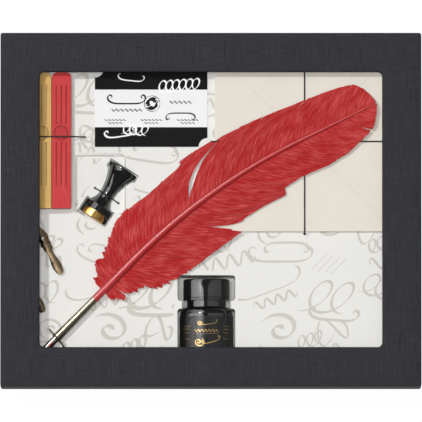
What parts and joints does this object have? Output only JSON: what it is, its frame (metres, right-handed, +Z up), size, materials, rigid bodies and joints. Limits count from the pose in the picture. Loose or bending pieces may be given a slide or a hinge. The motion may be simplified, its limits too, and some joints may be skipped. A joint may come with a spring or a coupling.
{
  "type": "calligraphy set box",
  "caption": "Flat gift box with a windowed lift-off lid over a formed tray that holds a red feather dip pen, ink bottle, seal, sealing wax, spare nibs, leaflet and envelopes.",
  "frame": {"origin": "middle of the face that the closed box rests on", "axes": "+X along the box's long side to the right as the window is read, +Y to its far side, +Z up out of the window"},
  "size_m": [0.29, 0.244, 0.046],
  "materials": {
    "box_paper": "matt, linen texture",
    "board": "matt",
    "tray": "satin, printed",
    "film": "clear",
    "lining": "matt",
    "leaflet_print": "printed, satin",
    "envelope_paper": "matt",
    "elastic": "matt",
    "gold_wax": "satin",
    "red_wax": "satin",
    "black_gloss": "gloss",
    "steel": "satin",
    "polished_steel": "polished",
    "brass": "polished",
    "red_plastic": "gloss",
    "feather": "soft",
    "bronze": "antique",
    "bottle_glass": "gloss",
    "ink": "wet",
    "label_paper": "satin",
    "liner": "matt"
  },
  "bodies": {
    "base": {"base_bottom_sheet": "box_paper", "base_board": "board", "base_side_wrap": "box_paper", "insert_tray": "tray", "leaflet": "leaflet_print"},
    "lid": {"lid_board": "board", "lid_wrap": "box_paper", "window_film": "film", "lid_lining": "lining"},
    "envelopes": {"envelope_stack": "envelope_paper", "top_envelope": "envelope_paper", "cord_across": "elastic", "cord_along": "elastic"},
    "wax": {"wax_stick_gold": "gold_wax", "wax_stick_red": "red_wax", "wax_tie": "elastic"},
    "seal": {"seal_handle": "black_gloss", "seal_tie": "elastic"},
    "stud": {"seal_stud": "steel"},
    "die": {"seal_die": "brass"},
    "pen": {"pen_barrel": "polished_steel", "pen_plug": "red_plastic", "quill_shaft": "red_plastic", "feather_far": "feather", "feather_near": "feather", "pen_tie": "elastic"},
    "nib": {"pen_nib": "steel"},
    "spare_nibs": {"spare_nib_upper": "bronze", "spare_nib_lower": "bronze"},
    "bottle": {"ink_bottle": "bottle_glass", "ink": "ink", "bottle_label": "label_paper", "tamper_ring": "black_gloss"},
    "liner": {"cap_liner": "liner"},
    "cap": {"bottle_cap": "black_gloss"}
  },
  "joints": [
    {"name": "lid_lift", "type": "slide", "parent": "base", "child": "lid", "axis": [0, 0, 1], "range_m": [0, 0.12]},
    {"name": "pen_lift", "type": "slide", "parent": "base", "child": "pen", "axis": [0, 0, 1], "range_m": [0, 0.073]},
    {"name": "bottle_lift", "type": "slide", "parent": "base", "child": "bottle", "axis": [0, 0, 1], "range_m": [0, 0.055]},
    {"name": "envelopes_lift", "type": "slide", "parent": "base", "child": "envelopes", "axis": [0, 0, 1], "range_m": [0, 0.037]},
    {"name": "seal_lift", "type": "slide", "parent": "base", "child": "seal", "axis": [0, 0, 1], "range_m": [0, 0.031]},
    {"name": "wax_lift", "type": "slide", "parent": "base", "child": "wax", "axis": [0, 0, 1], "range_m": [0, 0.025]},
    {"name": "spare_nibs_lift", "type": "slide", "parent": "base", "child": "spare_nibs", "axis": [0, 0, 1], "range_m": [0, 0.019]},
    {"name": "nib_pull", "type": "slide", "parent": "pen", "child": "nib", "axis": [-0.7008, -0.7132, -0.0163], "range_m": [0, 0.009]},
    {"name": "cap_rise", "type": "slide", "parent": "bottle", "child": "liner", "axis": [0, 1, 0], "range_m": [0, 0.00181]},
    {"name": "cap_turn", "type": "hinge", "parent": "liner", "child": "cap", "pos_m": [-0.0031, -0.054, 0.022], "axis": [0, 1, 0], "range_deg": [0, 360]},
    {"name": "die_travel", "type": "slide", "parent": "seal", "child": "stud", "axis": [-0.5461, -0.8377, 0], "range_m": [0, 0.00101]},
    {"name": "die_turn", "type": "hinge", "parent": "stud", "child": "die", "pos_m": [-0.0819, -0.0047, 0.0303], "axis": [-0.5461, -0.8377, 0], "range_deg": [0, 360]}
  ],
  "couplings": [
    {"joint": "pen_lift", "follows": "lid_lift", "ratio": 0.6},
    {"joint": "bottle_lift", "follows": "lid_lift", "ratio": 0.45},
    {"joint": "envelopes_lift", "follows": "lid_lift", "ratio": 0.3},
    {"joint": "seal_lift", "follows": "lid_lift", "ratio": 0.25},
    {"joint": "wax_lift", "follows": "lid_lift", "ratio": 0.2},
    {"joint": "spare_nibs_lift", "follows": "lid_lift", "ratio": 0.15},
    {"joint": "cap_rise", "follows": "cap_turn", "m_per_rad": 0.00028648},
    {"joint": "die_travel", "follows": "die_turn", "m_per_rad": 0.00015915}
  ]
}
